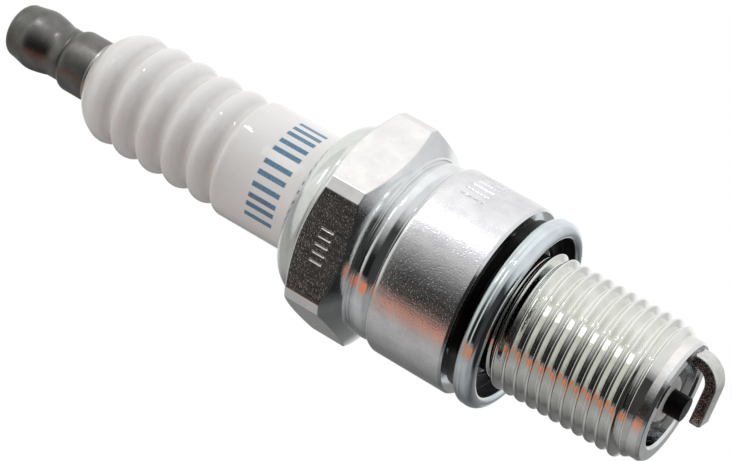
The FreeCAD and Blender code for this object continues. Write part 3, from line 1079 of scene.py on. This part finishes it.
# The studio's walls as the metal reflects them, as (azimuth in degrees, brightness): level with the plug,
# below it and above it
STUDIO_RING = (
    (-180, 0.36), (-158, 0.50), (-140, 0.42), (-123, 0.28), (-118, 0.012), (-92, 0.015),
    (-78, 0.09), (-62, 0.40), (-46, 0.70), (-30, 0.89), (0, 1.18), (34, 1.09),
    (66, 0.96), (98, 1.03), (117, 0.92), (129, 0.20), (154, 0.16), (180, 0.36),
)
LOW_RING = (
    (-180, 0.35), (-144, 0.35), (-126, 0.05), (-50, 0.05), (-36, 0.50), (-20, 0.85),
    (60, 0.92), (98, 0.64), (113, 0.29), (150, 0.11), (180, 0.30),
)
HIGH_RING = (
    (-180, 0.42), (-142, 0.36), (-122, 0.66), (-66, 0.80), (-36, 0.94), (-26, 1.05), (-16, 0.80),
    (14, 0.77), (26, 0.98), (60, 0.95), (120, 0.85), (150, 0.40), (180, 0.42),
)
HIGH_TINT = (0.99, 1.0, 0.94)
# An orange wall, as (azimuth, share of orange), and its two rows, as (sine of the height x 180, share)
ORANGE_WALL = ((-180, 0.0), (-141, 0.0), (-138, 1.0), (-127, 1.0), (-123, 0.0), (180, 0.0))
ORANGE_ROWS = (
    (-180, 0.0), (-60, 0.0), (-50, 1.0), (70, 1.0), (74, 0.0),
    (97, 0.0), (99, 1.0), (122, 1.0), (125, 0.0), (180, 0.0),
)
ORANGE = (0.76, 0.26, 0.14)
# Share of even white light in what matt surfaces receive
FILL = 0.27
# A dark card past the firing end, as (azimuth, height, reach) in degrees, and its colour
DARK_CARD = (-170, -75, 32)
DARK = (0.02, 0.02, 0.02)


def sky_ring(tree, position, ring_stops):
    """Grey along a ring of stops that span -180 to 180, read at a position from 0 to 1."""
    stops = [((spot + 180) / 360, (value, value, value)) for spot, value in ring_stops]
    return ramp(tree, position, stops)


def sky_card(tree, direction, azimuth, lift, reach):
    """1 inside a round part of the sky, 0 outside it, with a soft edge."""
    side, rise = math.radians(azimuth), math.radians(lift)
    aim = (math.cos(rise) * math.cos(side), math.cos(rise) * math.sin(side), math.sin(rise))
    facing = add(tree, "ShaderNodeVectorMath", {0: direction, 1: aim}, operation="DOT_PRODUCT")
    outer, inner = math.cos(math.radians(reach + 5)), math.cos(math.radians(reach - 5))
    return spread(tree, facing.outputs["Value"], 0, 1, outer, inner)


world = bpy.data.worlds.new("studio")
bpy.context.scene.world = world
world.use_nodes = True
sky = world.node_tree
background = sky.nodes["Background"]
direction = add(sky, "ShaderNodeTexCoord").outputs["Generated"]
round_sky = add(sky, "ShaderNodeTexGradient", {"Vector": direction}, gradient_type="RADIAL").outputs["Fac"]
lift = add(sky, "ShaderNodeSeparateXYZ", {"Vector": direction}).outputs[2]
half_lift = spread(sky, lift, 0, 1, -1, 1)
below = spread(sky, lift, 1, 0, -0.24, -0.06)
above = spread(sky, lift, 0, 1, 0.46, 0.66)
high = blended(sky, 1.0, sky_ring(sky, round_sky, HIGH_RING), HIGH_TINT, "MULTIPLY")
studio = blended(sky, below, sky_ring(sky, round_sky, STUDIO_RING), sky_ring(sky, round_sky, LOW_RING))
studio = blended(sky, above, studio, high)
orange = times(sky, sky_ring(sky, round_sky, ORANGE_WALL), sky_ring(sky, half_lift, ORANGE_ROWS))
studio = blended(sky, orange, studio, ORANGE)
studio = blended(sky, sky_card(sky, direction, *DARK_CARD), studio, DARK)
rays = add(sky, "ShaderNodeLightPath").outputs
studio = blended(sky, times(sky, rays["Is Diffuse Ray"], FILL), studio, (1.0, 0.98, 0.97))
sky.links.new(blended(sky, rays["Is Camera Ray"], studio, (1.0, 1.0, 1.0)), background.inputs["Color"])
background.inputs["Strength"].default_value = 1.0


def soft_light(name, place, size, power):
    """A square soft box at a place in metres, aimed at the middle of the plug."""
    data = bpy.data.lights.new(name, "AREA")
    data.shape = "SQUARE"
    data.size = size
    data.energy = power
    lamp = bpy.data.objects.new(name, data)
    bpy.context.scene.collection.objects.link(lamp)
    target = Vector((0, 0, 20 * MM))
    lamp.location = place
    lamp.rotation_euler = (target - place).to_track_quat("-Z", "Y").to_euler()


# The broad shine along the top of the plug, and the small sharp glints beside it
soft_light("key_light", up * 0.48 + back * 0.21 - right * 0.36, 0.16, 0.09)
soft_light("small_lamp", up * 0.54 + back * 0.234 - right * 0.132, 0.013, 0.3)
